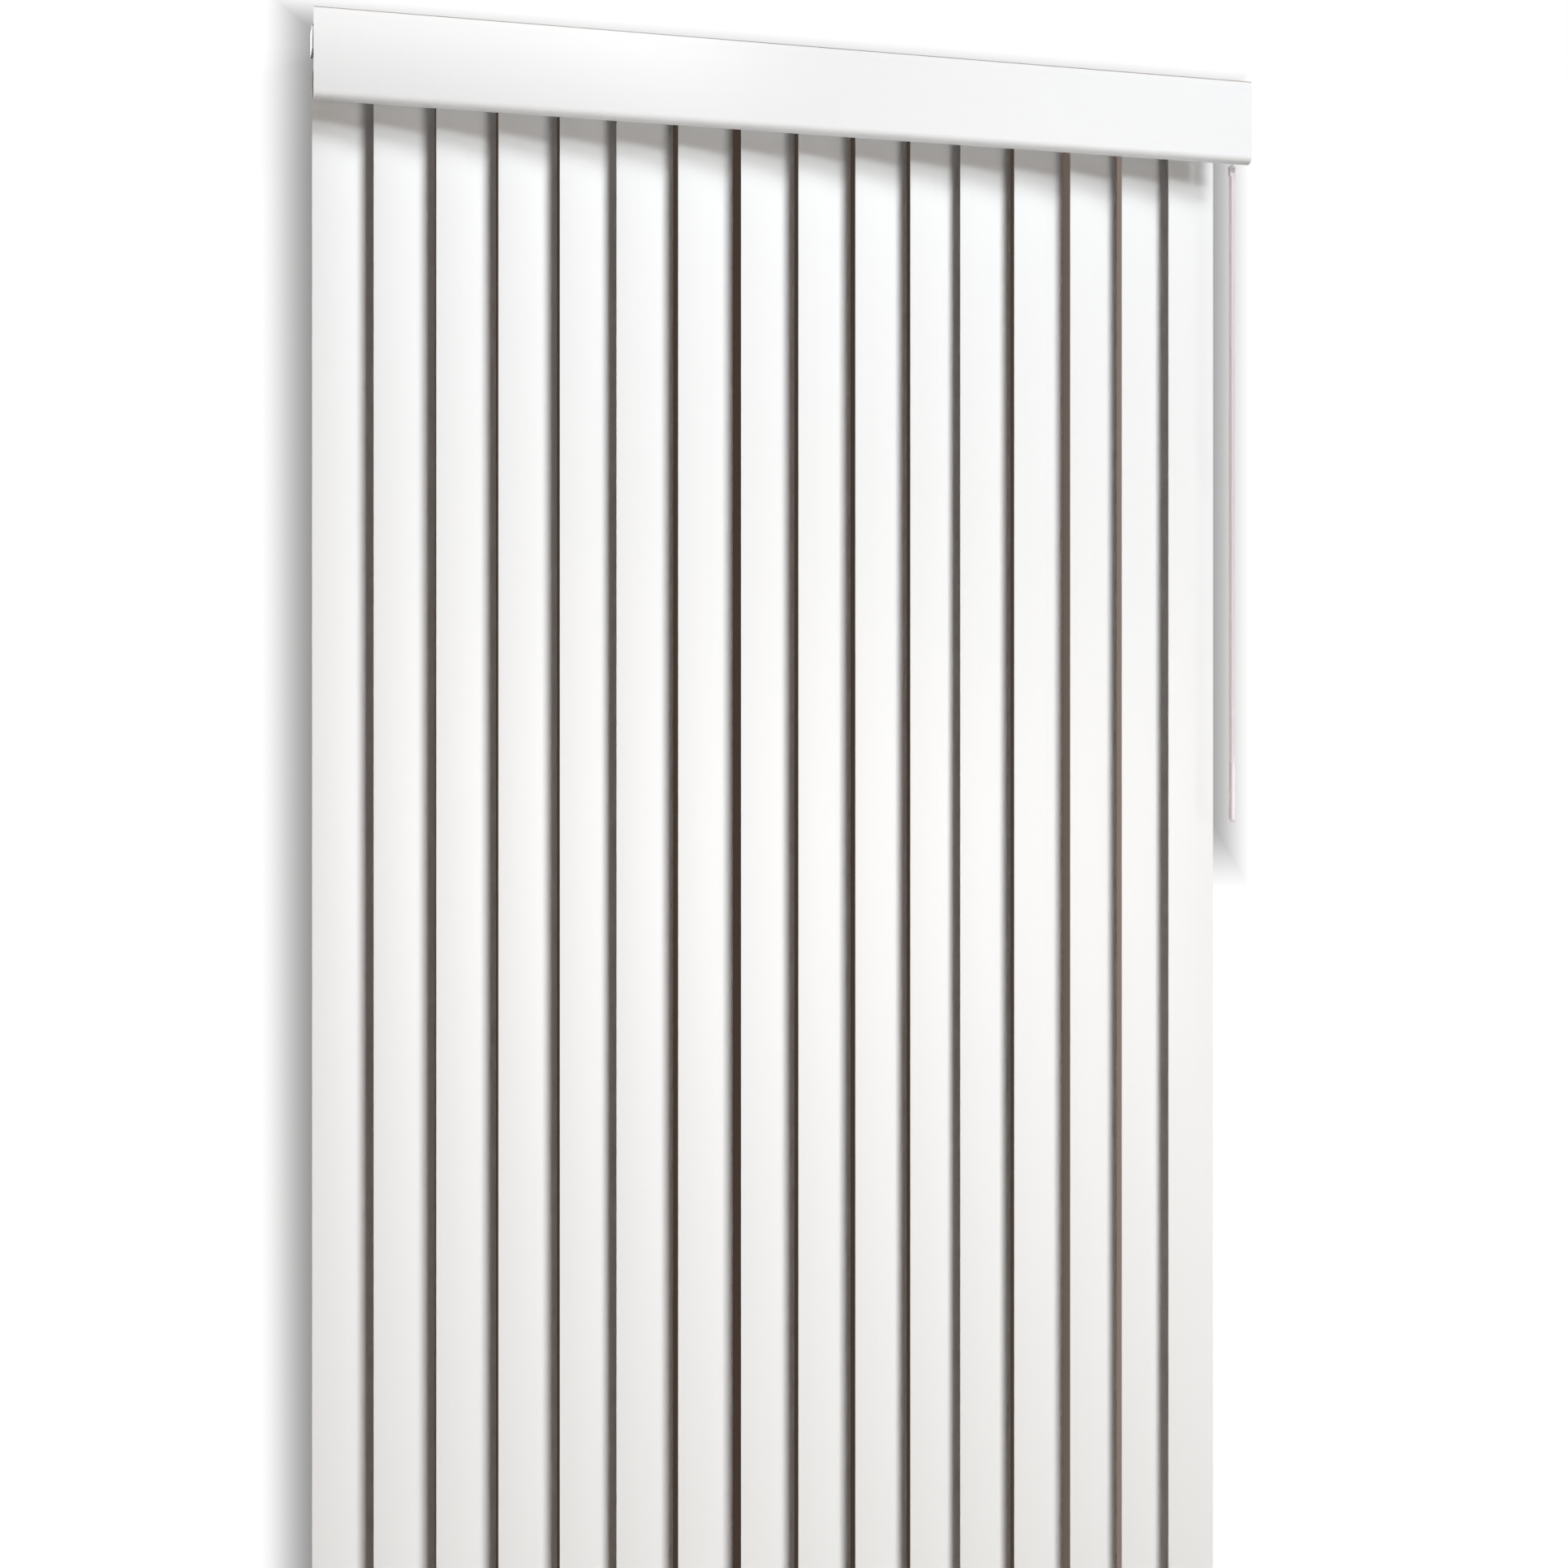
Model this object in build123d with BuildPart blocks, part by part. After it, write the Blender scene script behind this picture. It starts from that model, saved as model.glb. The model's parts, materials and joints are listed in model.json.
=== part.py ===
from build123d import *

import os
from math import asin, cos, degrees, pi, radians, sin

# A vertical blind: curved vanes hang from carriers that run in a headrail behind a flat valance.
# X runs along the rail to the right, Y points at the wall and Z is up.
# The origin is on the wall, midway along the rail, at the middle of the wall screws.

# Vanes
vane_count = 16
vane_pitch = 76.2
vane_width = 79.4
vane_thickness = 0.8
vane_crown = 2.6
vane_corner = 5.0
vane_hang = 22.0
drop = 2134.0
hook_slot_width = 10.0
hook_slot_height = 5.0
hook_slot_drop = 10.0

# How far each vane is turned from the plane of the rail, in degrees, with the small differences
# between neighbours, and how far each carrier stands from an even spacing, as shares of the pitch
vane_turn = 15.0
vane_turn_steps = [0, 0.5, 0.5, 0, 0, -1, 0, 0.5, 0.5, 0, -1, -1.5, -0.5, 0.5, 0, 1]
carrier_drift_shares = [0.05, 0.02, 0.02, 0.03, 0.04, -0.01, 0.03, 0.11,
                        0.11, 0.12, 0.11, 0.02, 0.01, 0.05, 0.03, -0.08]

# Valance
valance_height = 110.0
valance_thickness = 2.5
valance_offset = 62.0
valance_rise = 10.0
top_roll = 4.0
bottom_roll = 9.0
valance_lip = 3.0

# Where the vanes turn, from the wall and from the valance's left end
wall_offset = 55.0
row_start = 35.7

# Headrail
rail_width = 44.0
rail_height = 30.0
rail_wall = 1.4
rail_lip = 2.5
rail_slot = 16.0
rail_rib = 3.0
cap_thickness = 3.0
plug_depth = 3.0
plug_fit = 0.2

# Tilt rod
rod_radius = 3.2
rod_root_radius = 2.6
rod_splines = 8
rod_offset = 10.0
rod_fit = 0.05
rod_tunnel_gap = 0.3
socket_depth = 1.6
rod_end_play = 0.2

# Carriers
carrier_length = 18.0
carrier_width = 30.0
carrier_height = 17.5
carrier_lift = 1.0
neck_length = 13.0
neck_width = 13.0
neck_reach = 1.0
wheel_radius = 5.0
wheel_width = 3.4
wheel_gap = 0.5
wheel_fit = 0.2
axle_radius = 1.8
link_lanes = 5
link_width = 2.6
link_thickness = 0.8
link_gap = 0.35
link_root = 4.0
link_slack_share = 0.12
link_tab_height = 2.2
bridge_length = 3.0
bridge_wall = 0.8

# Stems
gear_radius = 5.2
gear_root_radius = 4.5
gear_teeth = 10
gear_height = 6.0
gear_gap = 0.3
gear_lift = 0.2
pocket_depth = 8.0
stem_radius = 3.0
stem_fit = 0.08
jaw_width = 9.0
jaw_depth = 5.6
jaw_drop = 8.0
jaw_grip = 16.0
jaw_fit = 0.25
jaw_headroom = 0.5
nib_width = 4.0
nib_height = 2.4
nib_gap = 0.2

# Lead carrier's gearbox and the wand
wand_right = 43.3
wand_front = 32.0
gearbox_length = 14.0
gearbox_end_gap = 1.1
gearbox_height = 15.0
gearbox_gap = 1.0
gearbox_wall = 2.5
arm_width = 14.0
arm_height = 12.0
eye_drop = 102.0
eye_thickness = 4.0
eye_width = 6.0
eye_rise = 6.2
eye_fall = 3.2
pin_radius = 1.6
pin_fit = 0.08
ear_thickness = 1.6
ear_gap = 0.3
ear_width = 6.4
ear_fall = 5.0
shoulder_height = 5.0
wand_length = 882.0
wand_flats = 8.0
grip_length = 80.0
grip_radius = 5.0
grip_floor = 4.0
grip_round = 2.0

# Wall brackets, rail clips and their bolts
bracket_count = 3
bracket_inset = 115.0
bracket_width = 30.0
bracket_thickness = 1.6
bracket_bend = 2.0
bracket_nose = 12.0
bracket_foot = 18.0
screw_radius = 2.5
screw_spacing = 20.0
rail_top = 22.0
clip_width = 24.0
clip_thickness = 1.0
clip_fit = 0.2
clip_rise = 3.2
bolt_radius = 2.0
bolt_fit = 0.2
bolt_head_radius = 4.0
bolt_head_height = 2.4
bolt_end = 1.0
nut_radius = 4.0
nut_height = 3.2
nut_fit = 0.05

# Valance clips
valance_clip_inset = 60.0
valance_clip_count = 4
valance_clip_width = 14.0
valance_clip_wall = 2.0
valance_clip_fit = 0.2
valance_clip_grip = 6.0

# Heights and depths that follow from the sizes above
pivot_y = -wall_offset
lead_drift = carrier_drift_shares[-1] * vane_pitch
row_end = cap_thickness + plug_depth + gearbox_end_gap + gearbox_length / 2 + wand_right + lead_drift
valance_length = row_start + (vane_count - 1) * vane_pitch + row_end
rail_bottom = rail_top - rail_height
flange_top = rail_bottom + rail_wall
rail_length = valance_length - 2 * cap_thickness
axle_z = flange_top + wheel_fit + wheel_radius
rib_z = axle_z + wheel_radius + 2 * wheel_fit
carrier_bottom = flange_top + carrier_lift
carrier_top = carrier_bottom + carrier_height
neck_bottom = rail_bottom - neck_reach
gear_floor = carrier_top - pocket_depth
rod_y = pivot_y + rod_offset
rod_z = gear_floor + gear_lift + gear_height / 2
vane_top = rail_bottom - vane_hang
vane_length = drop - (rail_top - vane_top)
jaw_top = rail_bottom - jaw_drop
jaw_slot = vane_thickness + 2 * jaw_fit
front_y = pivot_y - valance_offset
valance_top = rail_top + valance_rise
valance_bottom = valance_top - valance_height
gearbox_top = rail_bottom - gearbox_gap
wand_y = pivot_y - wand_front
eye_z = rail_top - eye_drop
bracket_top = rail_top + clip_rise + clip_thickness + bracket_thickness
link_lane_pitch = link_width + 2 * link_gap + bridge_wall

standing = (Align.CENTER, Align.CENTER, Align.MIN)
hanging = (Align.CENTER, Align.CENTER, Align.MAX)
rightward = (Align.MIN, Align.CENTER, Align.MIN)


def even_places(count, inset):
    """Places along the valance, evenly spread between an inset at each end."""
    span = valance_length - 2 * inset
    return [span * (n / (count - 1) - 1 / 2) for n in range(count)]


bracket_places = even_places(bracket_count, bracket_inset)
valance_clip_places = even_places(valance_clip_count, valance_clip_inset)


def pivot_x(index):
    """Where a vane turns: its place in the even row, and its own small drift."""
    return row_start - valance_length / 2 + (index + carrier_drift_shares[index]) * vane_pitch


def turned_plane(index, height):
    """A level plane on a vane's axis, its x along the vane and its y towards the wall."""
    turn = radians(vane_turn + vane_turn_steps[index])
    return Plane(
        origin=(pivot_x(index), pivot_y, height),
        x_dir=(cos(turn), sin(turn), 0),
        z_dir=(0, 0, 1),
    )


def lane_y(index):
    """The lane on top of the carriers in which a carrier's link runs."""
    return pivot_y + (index % link_lanes - (link_lanes - 1) / 2) * link_lane_pitch


def toothed_points(outer, root, teeth):
    """Points of a toothed wheel's outline, in turn at its tips and roots."""
    radii = [outer, outer, root, root]
    count = len(radii) * teeth
    return [
        (radii[n % len(radii)] * cos(2 * pi * n / count), radii[n % len(radii)] * sin(2 * pi * n / count))
        for n in range(count)
    ]


def bar(y_start, y_end, z_start, z_end):
    """Adds a rectangle to the section that is being drawn."""
    with Locations(((y_start + y_end) / 2, (z_start + z_end) / 2)):
        Rectangle(y_end - y_start, z_end - z_start)


def save(piece, name):
    piece.part.label = name
    export_step(piece.part, f"parts/{name}.step")


os.makedirs("parts", exist_ok=True)

# Headrail: a channel with a slot below, lips outside at the top and ribs that hold the wheels down
with BuildPart() as headrail:
    with BuildSketch(Plane.YZ):
        with Locations((pivot_y, rail_top - rail_height / 2)):
            Rectangle(rail_width, rail_height)
            Rectangle(rail_width - 2 * rail_wall, rail_height - 2 * rail_wall, mode=Mode.SUBTRACT)
        with Locations((pivot_y, rail_bottom + rail_wall / 2)):
            Rectangle(rail_slot, rail_wall, mode=Mode.SUBTRACT)
        with Locations((pivot_y, rail_top - rail_wall / 2)):
            Rectangle(rail_width + 2 * rail_lip, rail_wall)
        rib_y = rail_width / 2 - rail_wall - rail_rib / 2
        with Locations((pivot_y - rib_y, rib_z + rail_wall / 2), (pivot_y + rib_y, rib_z + rail_wall / 2)):
            Rectangle(rail_rib, rail_wall)
    extrude(amount=rail_length / 2, both=True)
save(headrail, "headrail")


def build_end_cap(side, name):
    """A plate over the rail's end, a plug inside it and the rod's socket in both."""
    rail_end = Plane.YZ.offset(side * rail_length / 2)
    plug_width = rail_width - 2 * (rail_wall + rail_rib + plug_fit)
    plug_height = rail_height - 2 * (rail_wall + plug_fit)
    with BuildPart() as end_cap:
        with BuildSketch(rail_end):
            with Locations((pivot_y, rail_top - rail_height / 2)):
                Rectangle(rail_width, rail_height)
            with Locations((pivot_y, rail_top - rail_wall / 2)):
                Rectangle(rail_width + 2 * rail_lip, rail_wall)
        extrude(amount=side * cap_thickness)
        with BuildSketch(rail_end):
            with Locations((pivot_y, rail_top - rail_height / 2)):
                Rectangle(plug_width, plug_height)
        extrude(amount=-side * plug_depth)
        with BuildSketch(rail_end.offset(-side * plug_depth)):
            with Locations((rod_y, rod_z)):
                Circle(rod_radius + rod_fit)
        extrude(amount=side * (plug_depth + socket_depth), mode=Mode.SUBTRACT)
    save(end_cap, name)


build_end_cap(-1, "end_cap_left")
build_end_cap(1, "end_cap_right")

# Tilt rod: splined all along, its ends in the sockets of the end caps
with BuildPart() as tilt_rod:
    with BuildSketch(Plane.YZ):
        with Locations((rod_y, rod_z)):
            Polygon(*toothed_points(rod_radius, rod_root_radius, rod_splines), align=None)
    extrude(amount=rail_length / 2 + socket_depth - rod_end_play, both=True)
save(tilt_rod, "tilt_rod")

# Valance: a board whose top and bottom edges roll back into short lips
with BuildPart() as valance:
    with BuildSketch(Plane.YZ):
        back_y = front_y + valance_thickness
        top_y = front_y + top_roll
        bottom_y = front_y + bottom_roll
        top_centre = (top_y, valance_top - top_roll)
        bottom_centre = (bottom_y, valance_bottom + bottom_roll)
        with BuildLine():
            top_lip = Line((top_y + valance_lip, valance_top), (top_y, valance_top))
            top_outside = CenterArc(top_centre, top_roll, 90, 90)
            bottom_outside = CenterArc(bottom_centre, bottom_roll, 180, 90)
            Line(top_outside @ 1, bottom_outside @ 0)
            bottom_lip = Line(bottom_outside @ 1, (bottom_y + valance_lip, valance_bottom))
            bottom_inside = CenterArc(bottom_centre, bottom_roll - valance_thickness, 270, -90)
            Polyline(
                bottom_lip @ 1,
                (bottom_y + valance_lip, valance_bottom + valance_thickness),
                bottom_inside @ 0,
            )
            top_inside = CenterArc(top_centre, top_roll - valance_thickness, 180, -90)
            Line(bottom_inside @ 1, top_inside @ 0)
            Polyline(
                top_inside @ 1,
                (top_y + valance_lip, valance_top - valance_thickness),
                top_lip @ 0,
            )
        make_face()
    extrude(amount=valance_length / 2, both=True)
save(valance, "valance")

# Valance clips: a jaw on the rail's front lip, an arm, and a plate held between the valance's lips
with BuildPart() as valance_clips:
    wall = valance_clip_wall
    plate_y = front_y + valance_thickness + valance_clip_fit
    plate_low = valance_bottom + bottom_roll + valance_clip_fit
    plate_high = valance_top - top_roll - valance_clip_fit
    foot_y = front_y + bottom_roll
    head_y = front_y + top_roll
    lip_y = pivot_y - rail_width / 2 - rail_lip
    riser_y = lip_y - valance_clip_fit - wall
    lip_under = rail_top - rail_wall
    for clip_x in valance_clip_places:
        with BuildSketch(Plane.YZ.offset(clip_x)):
            bar(plate_y, plate_y + wall, plate_low, plate_high)
            bar(plate_y, foot_y + valance_lip, plate_low, plate_low + wall)
            bar(foot_y, foot_y + valance_lip, valance_bottom + valance_thickness, plate_low + wall)
            bar(plate_y, head_y + valance_lip, plate_high - wall, plate_high)
            bar(head_y, head_y + valance_lip, plate_high - wall, valance_top - valance_thickness)
            bar(plate_y, lip_y + valance_clip_grip, rail_top, rail_top + wall)
            bar(riser_y, riser_y + wall, lip_under - wall, rail_top + wall)
            bar(riser_y, lip_y + rail_lip, lip_under - wall, lip_under)
        extrude(amount=valance_clip_width / 2, both=True)
save(valance_clips, "valance_clips")

# Wall brackets: an angle with its long leg on the wall and its short leg over the rail
with BuildPart() as wall_brackets:
    reach = wall_offset + bracket_nose
    foot_z = -screw_spacing / 2 - bracket_foot / 2
    for bracket_x in bracket_places:
        with BuildSketch(Plane.YZ.offset(bracket_x)) as angle:
            bar(-bracket_thickness, 0, foot_z, bracket_top)
            bar(-reach, 0, bracket_top - bracket_thickness, bracket_top)
            inner_corner = angle.vertices().sort_by_distance(
                (-bracket_thickness, bracket_top - bracket_thickness, 0)
            )[0]
            fillet(inner_corner, bracket_bend)
            outer_corner = angle.vertices().sort_by_distance((0, bracket_top, 0))[0]
            fillet(outer_corner, bracket_bend + bracket_thickness)
        extrude(amount=bracket_width / 2, both=True)
    with BuildSketch(Plane.XZ):
        with Locations(*[(x, z) for x in bracket_places for z in (-screw_spacing / 2, screw_spacing / 2)]):
            Circle(screw_radius)
    extrude(amount=bracket_thickness, mode=Mode.SUBTRACT)
    with BuildSketch(Plane.XY.offset(bracket_top)):
        with Locations(*[(x, pivot_y) for x in bracket_places]):
            Circle(bolt_radius + bolt_fit)
    extrude(amount=-bracket_thickness, mode=Mode.SUBTRACT)
save(wall_brackets, "wall_brackets")

# Rail clips: spring steel bent round the rail's two lips, with room for the bolt's head below
with BuildPart() as rail_clips:
    hook_top = rail_top - rail_wall
    plate_bottom = rail_top + clip_rise
    inner_half = rail_width / 2 + rail_lip + clip_fit
    outer_half = inner_half + clip_thickness
    hook_end = rail_width / 2 + clip_fit
    for clip_x in bracket_places:
        with BuildSketch(Plane.YZ.offset(clip_x)):
            bar(pivot_y - outer_half, pivot_y + outer_half, plate_bottom, plate_bottom + clip_thickness)
            for side in (-1, 1):
                near, far = sorted((side * inner_half, side * outer_half))
                bar(pivot_y + near, pivot_y + far, hook_top - clip_thickness, plate_bottom)
                near, far = sorted((side * hook_end, side * outer_half))
                bar(pivot_y + near, pivot_y + far, hook_top - clip_thickness, hook_top)
        extrude(amount=clip_width / 2, both=True)
    with BuildSketch(Plane.XY.offset(plate_bottom)):
        with Locations(*[(x, pivot_y) for x in bracket_places]):
            Circle(bolt_radius + bolt_fit)
    extrude(amount=clip_thickness, mode=Mode.SUBTRACT)
save(rail_clips, "rail_clips")

# Bolts and nuts that hold the clips under the brackets
with BuildPart() as bracket_bolts:
    bolt_places = [(x, pivot_y) for x in bracket_places]
    head_top = rail_top + clip_rise
    bolt_length = bracket_top + nut_height + bolt_end - head_top
    with BuildSketch(Plane.XY.offset(head_top)):
        with Locations(*bolt_places):
            Circle(bolt_head_radius)
    extrude(amount=-bolt_head_height)
    with BuildSketch(Plane.XY.offset(head_top)):
        with Locations(*bolt_places):
            Circle(bolt_radius)
    extrude(amount=bolt_length)
    with BuildSketch(Plane.XY.offset(bracket_top)):
        with Locations(*bolt_places):
            RegularPolygon(nut_radius, 6)
            Circle(bolt_radius + nut_fit, mode=Mode.SUBTRACT)
    extrude(amount=nut_height)
save(bracket_bolts, "bracket_bolts")


def build_carrier(index):
    """A block on two wheels, with a neck in the rail's slot, a well for the stem's gear and a tunnel
    for the rod. Its link reaches over the next carrier, under that carrier's bridge."""
    x = pivot_x(index)
    leads = index == vane_count - 1
    arm_start = x + carrier_length / 2
    wand_x = x + wand_right
    gearbox_back = pivot_y + neck_width / 2
    gearbox_width = gearbox_back - wand_y + gear_radius + gear_gap + gearbox_wall
    gear_well = gearbox_top - pocket_depth
    link_z = carrier_top + link_gap
    link_start = x + carrier_length / 2 - link_root
    link_reach = (1 + link_slack_share) * vane_pitch
    bridge_x = x - carrier_length / 2
    bridge_half = link_width / 2 + link_gap + bridge_wall / 2
    bridge_height = 2 * link_gap + link_thickness
    with BuildPart() as carrier:
        with Locations((x, pivot_y, carrier_bottom)):
            Box(carrier_length, carrier_width, carrier_height, align=standing)
            Box(neck_length, neck_width, carrier_bottom - neck_bottom, align=hanging)
        with Locations((x, pivot_y, axle_z)):
            Cylinder(axle_radius, carrier_width + 2 * (wheel_gap + wheel_width), rotation=(90, 0, 0))
        wheel_y = carrier_width / 2 + wheel_gap + wheel_width / 2
        with Locations((x, pivot_y - wheel_y, axle_z), (x, pivot_y + wheel_y, axle_z)):
            Cylinder(wheel_radius, wheel_width, rotation=(90, 0, 0))
        if leads:
            # Arm inside the rail, its neck through the slot, and the wand's gearbox below the rail
            with Locations((arm_start, pivot_y + neck_width / 2, carrier_bottom)):
                Box(
                    wand_x + gearbox_length / 2 - arm_start,
                    arm_width,
                    arm_height,
                    align=(Align.MIN, Align.MAX, Align.MIN),
                )
            with Locations((wand_x, pivot_y, carrier_bottom)):
                Box(gearbox_length, neck_width, carrier_bottom - gearbox_top, align=hanging)
            with Locations((wand_x, gearbox_back, gearbox_top)):
                Box(
                    gearbox_length,
                    gearbox_width,
                    gearbox_height,
                    align=(Align.CENTER, Align.MAX, Align.MAX),
                )
            with Locations((wand_x, wand_y, gearbox_top)):
                Cylinder(stem_radius + stem_fit, gearbox_height, align=hanging, mode=Mode.SUBTRACT)
            with Locations((wand_x, wand_y, gear_well)):
                Cylinder(gear_radius + gear_gap, pocket_depth, align=standing, mode=Mode.SUBTRACT)
        else:
            with Locations((link_start, lane_y(index), carrier_top)):
                Box(link_root, link_width, link_gap, align=rightward)
            with Locations((link_start, lane_y(index), link_z)):
                Box(x + link_reach - link_start, link_width, link_thickness, align=rightward)
            with Locations((x + link_reach, lane_y(index), link_z)):
                Box(link_thickness, link_width, link_tab_height, align=rightward)
        if index > 0:
            crossing = lane_y(index - 1)
            with Locations((bridge_x, crossing - bridge_half, carrier_top),
                           (bridge_x, crossing + bridge_half, carrier_top)):
                Box(bridge_length, bridge_wall, bridge_height, align=rightward)
            with Locations((bridge_x, crossing, carrier_top + bridge_height)):
                Box(bridge_length, 2 * bridge_half + bridge_wall, bridge_wall, align=rightward)
        with Locations((x, pivot_y, neck_bottom)):
            Cylinder(
                stem_radius + stem_fit,
                carrier_top - neck_bottom,
                align=standing,
                mode=Mode.SUBTRACT,
            )
        with Locations((x, pivot_y, gear_floor)):
            Cylinder(gear_radius + gear_gap, pocket_depth, align=standing, mode=Mode.SUBTRACT)
        with Locations((x, rod_y, rod_z)):
            Cylinder(
                rod_radius + rod_tunnel_gap,
                carrier_length,
                rotation=(0, 90, 0),
                mode=Mode.SUBTRACT,
            )
    save(carrier, "lead_carrier" if leads else f"carrier_{index + 1:02d}")


def build_stem(index):
    """A gear on a shaft, and below it a jaw with a nib that goes through the vane's slot."""
    gear_bottom = gear_floor + gear_lift
    jaw_bottom = vane_top - jaw_grip
    slot_top = vane_top + jaw_headroom
    nib_top = vane_top - hook_slot_drop + hook_slot_height / 2
    with BuildPart() as stem:
        with BuildSketch(turned_plane(index, gear_bottom)):
            Polygon(*toothed_points(gear_radius, gear_root_radius, gear_teeth), align=None)
        extrude(amount=gear_height)
        with BuildSketch(turned_plane(index, gear_bottom)):
            Circle(stem_radius)
        extrude(amount=jaw_top - gear_bottom)
        with BuildSketch(turned_plane(index, jaw_top)):
            Rectangle(jaw_width, jaw_depth)
        extrude(amount=jaw_bottom - jaw_top)
        with BuildSketch(turned_plane(index, slot_top)):
            Rectangle(jaw_width, jaw_slot)
        extrude(amount=jaw_bottom - slot_top, mode=Mode.SUBTRACT)
        with BuildSketch(turned_plane(index, nib_top)):
            with Locations((0, nib_gap / 2)):
                Rectangle(nib_width, jaw_slot - nib_gap)
        extrude(amount=-nib_height)
    save(stem, f"stem_{index + 1:02d}")


def build_vane(index):
    """A strip curved to an arc, convex to the room, with round corners and a slot for its hook."""
    bend = (vane_width**2 / 4 + vane_crown**2) / (2 * vane_crown)
    half_angle = degrees(asin(vane_width / 2 / bend))
    level = turned_plane(index, vane_top - hook_slot_drop)
    with BuildPart() as vane:
        with BuildSketch(turned_plane(index, vane_top)):
            with BuildLine():
                front = CenterArc((0, bend), bend + vane_thickness / 2, 270 - half_angle, 2 * half_angle)
                back = CenterArc((0, bend), bend - vane_thickness / 2, 270 - half_angle, 2 * half_angle)
                Line(front @ 0, back @ 0)
                Line(front @ 1, back @ 1)
            make_face()
        extrude(amount=-vane_length)
        corners = vane.edges().filter_by(lambda edge: edge.length < 2 * vane_thickness)
        fillet(corners, vane_corner)
        with BuildSketch(Plane(origin=level.origin, x_dir=level.x_dir, z_dir=level.y_dir)):
            SlotOverall(hook_slot_width, hook_slot_height)
        extrude(amount=vane_crown, both=True, mode=Mode.SUBTRACT)
    save(vane, f"vane_{index + 1:02d}")


for number in range(vane_count):
    build_carrier(number)
    build_stem(number)
    build_vane(number)

# Wand stem: a gear in the gearbox, a shaft, and a flat eye at its lower end
wand_x = pivot_x(vane_count - 1) + wand_right
wand_gear_bottom = gearbox_top - pocket_depth + gear_lift
with BuildPart() as wand_stem:
    with BuildSketch(Plane.XY.offset(wand_gear_bottom)):
        with Locations((wand_x, wand_y)):
            Polygon(*toothed_points(gear_radius, gear_root_radius, gear_teeth), align=None)
    extrude(amount=gear_height)
    with BuildSketch(Plane.XY.offset(wand_gear_bottom)):
        with Locations((wand_x, wand_y)):
            Circle(stem_radius)
    extrude(amount=eye_z + eye_rise - wand_gear_bottom)
    with Locations((wand_x, wand_y, eye_z + eye_rise)):
        Box(eye_thickness, eye_width, eye_rise + eye_fall, align=hanging)
    with Locations((wand_x, wand_y, eye_z)):
        Cylinder(pin_radius + pin_fit, eye_thickness, rotation=(0, 90, 0), mode=Mode.SUBTRACT)
save(wand_stem, "wand_stem")

# Wand rod: two ears and a pin through the eye, a shoulder, and a six-sided rod
rod_top = eye_z - ear_fall - shoulder_height
wand_bottom = eye_z - wand_length
with BuildPart() as wand_rod:
    ear_x = eye_thickness / 2 + ear_gap + ear_thickness / 2
    ear_top = eye_z + ear_width / 2
    with Locations((wand_x - ear_x, wand_y, ear_top), (wand_x + ear_x, wand_y, ear_top)):
        Box(ear_thickness, ear_width, ear_top - rod_top, align=hanging)
    with Locations((wand_x, wand_y, eye_z)):
        Cylinder(pin_radius, 2 * ear_x, rotation=(0, 90, 0))
    with Locations((wand_x, wand_y, rod_top)):
        Box(2 * ear_x + ear_thickness, ear_width, shoulder_height, align=standing)
    with BuildSketch(Plane.XY.offset(rod_top)):
        with Locations((wand_x, wand_y)):
            RegularPolygon(wand_flats / 2, 6, major_radius=False)
    extrude(amount=wand_bottom + grip_floor - rod_top)
save(wand_rod, "wand_rod")

# Wand grip: a sleeve over the rod's lower end, closed and rounded at the bottom
with BuildPart() as wand_grip:
    with Locations((wand_x, wand_y, wand_bottom)):
        Cylinder(grip_radius, grip_length, align=standing)
    fillet(wand_grip.edges().filter_by(GeomType.CIRCLE).group_by(Axis.Z)[0], grip_round)
    with BuildSketch(Plane.XY.offset(wand_bottom + grip_floor)):
        with Locations((wand_x, wand_y)):
            RegularPolygon(wand_flats / 2, 6, major_radius=False)
    extrude(amount=grip_length - grip_floor, mode=Mode.SUBTRACT)
save(wand_grip, "wand_grip")
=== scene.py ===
# %% [markdown]
# # A vertical blind
# The solid parts of the blind come in ready made, at their real size, in metres. X runs along the rail,
# Y points at the wall and Z is up. This lesson sets up a camera and a small studio, remakes the vanes with
# soft edges, and gives every piece its finish.

# %% Load the parts
import json
import math

import bmesh
import bpy
from mathutils import Matrix, Vector


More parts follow.
